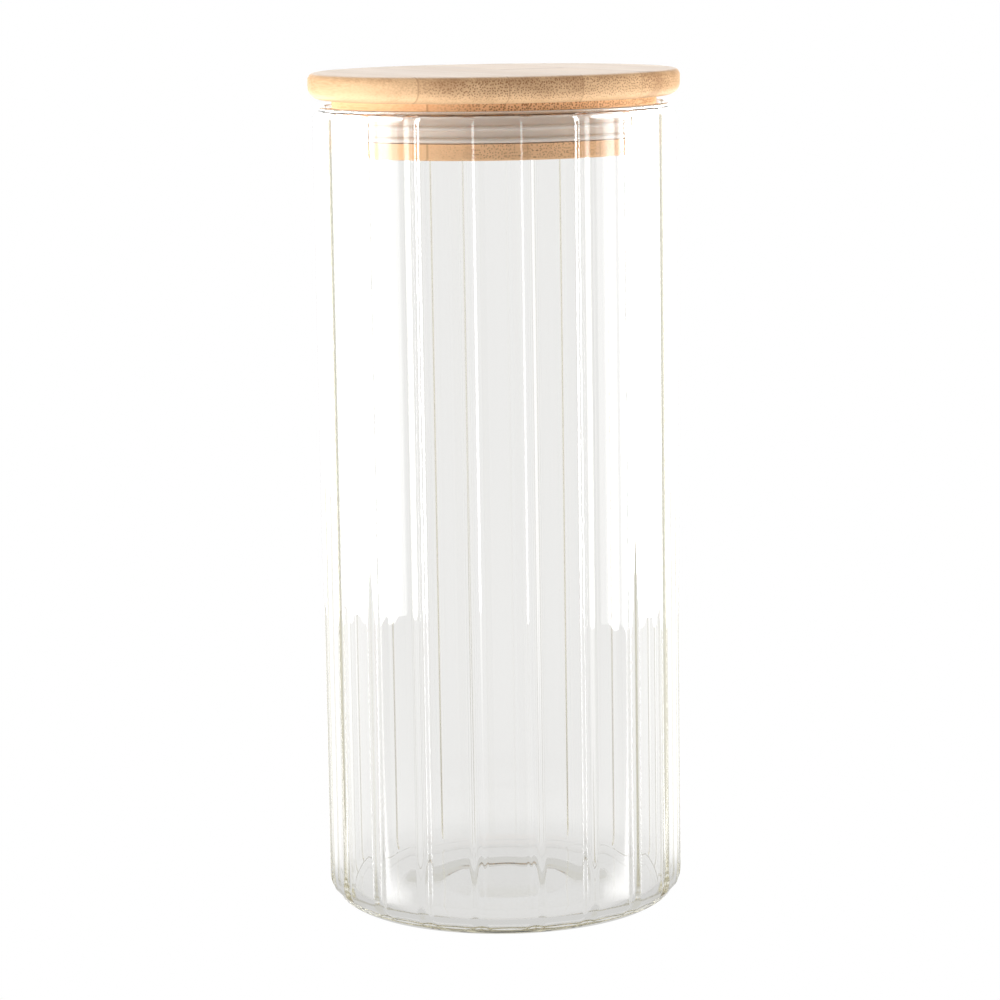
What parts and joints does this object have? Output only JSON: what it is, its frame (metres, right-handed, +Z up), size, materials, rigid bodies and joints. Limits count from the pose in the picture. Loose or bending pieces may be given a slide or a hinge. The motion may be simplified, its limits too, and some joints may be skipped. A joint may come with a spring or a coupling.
{
  "type": "lidded glass canister",
  "caption": "Tall clear glass storage canister with flat panels and upright grooves round its wall, closed by a push-in bamboo lid with a silicone seal.",
  "frame": {"origin": "centre of the ring that the jar stands on, on the surface below it", "axes": "+Z up along the jar's axis, -Y towards the viewer, +X to the right"},
  "size_m": [0.1028, 0.1028, 0.2341],
  "materials": {
    "clear_glass": "clear, fire-polished",
    "sanded_bamboo": "sanded smooth, oiled",
    "turned_bamboo": "turned, end grain showing",
    "silicone": "translucent, matt"
  },
  "bodies": {
    "jar": {"glass_jar": "clear_glass"},
    "seal": {"silicone_seal": "silicone"},
    "lid": {"lid_disc": "sanded_bamboo", "lid_plug": "turned_bamboo"}
  },
  "joints": [
    {"name": "lid_lift", "type": "slide", "parent": "jar", "child": "seal", "axis": [0, 0, 1], "range_m": [0, 0.1]},
    {"name": "lid_turn", "type": "hinge", "parent": "seal", "child": "lid", "pos_m": [0, 0, 0.2204], "axis": [0, 0, 1], "continuous": true}
  ]
}
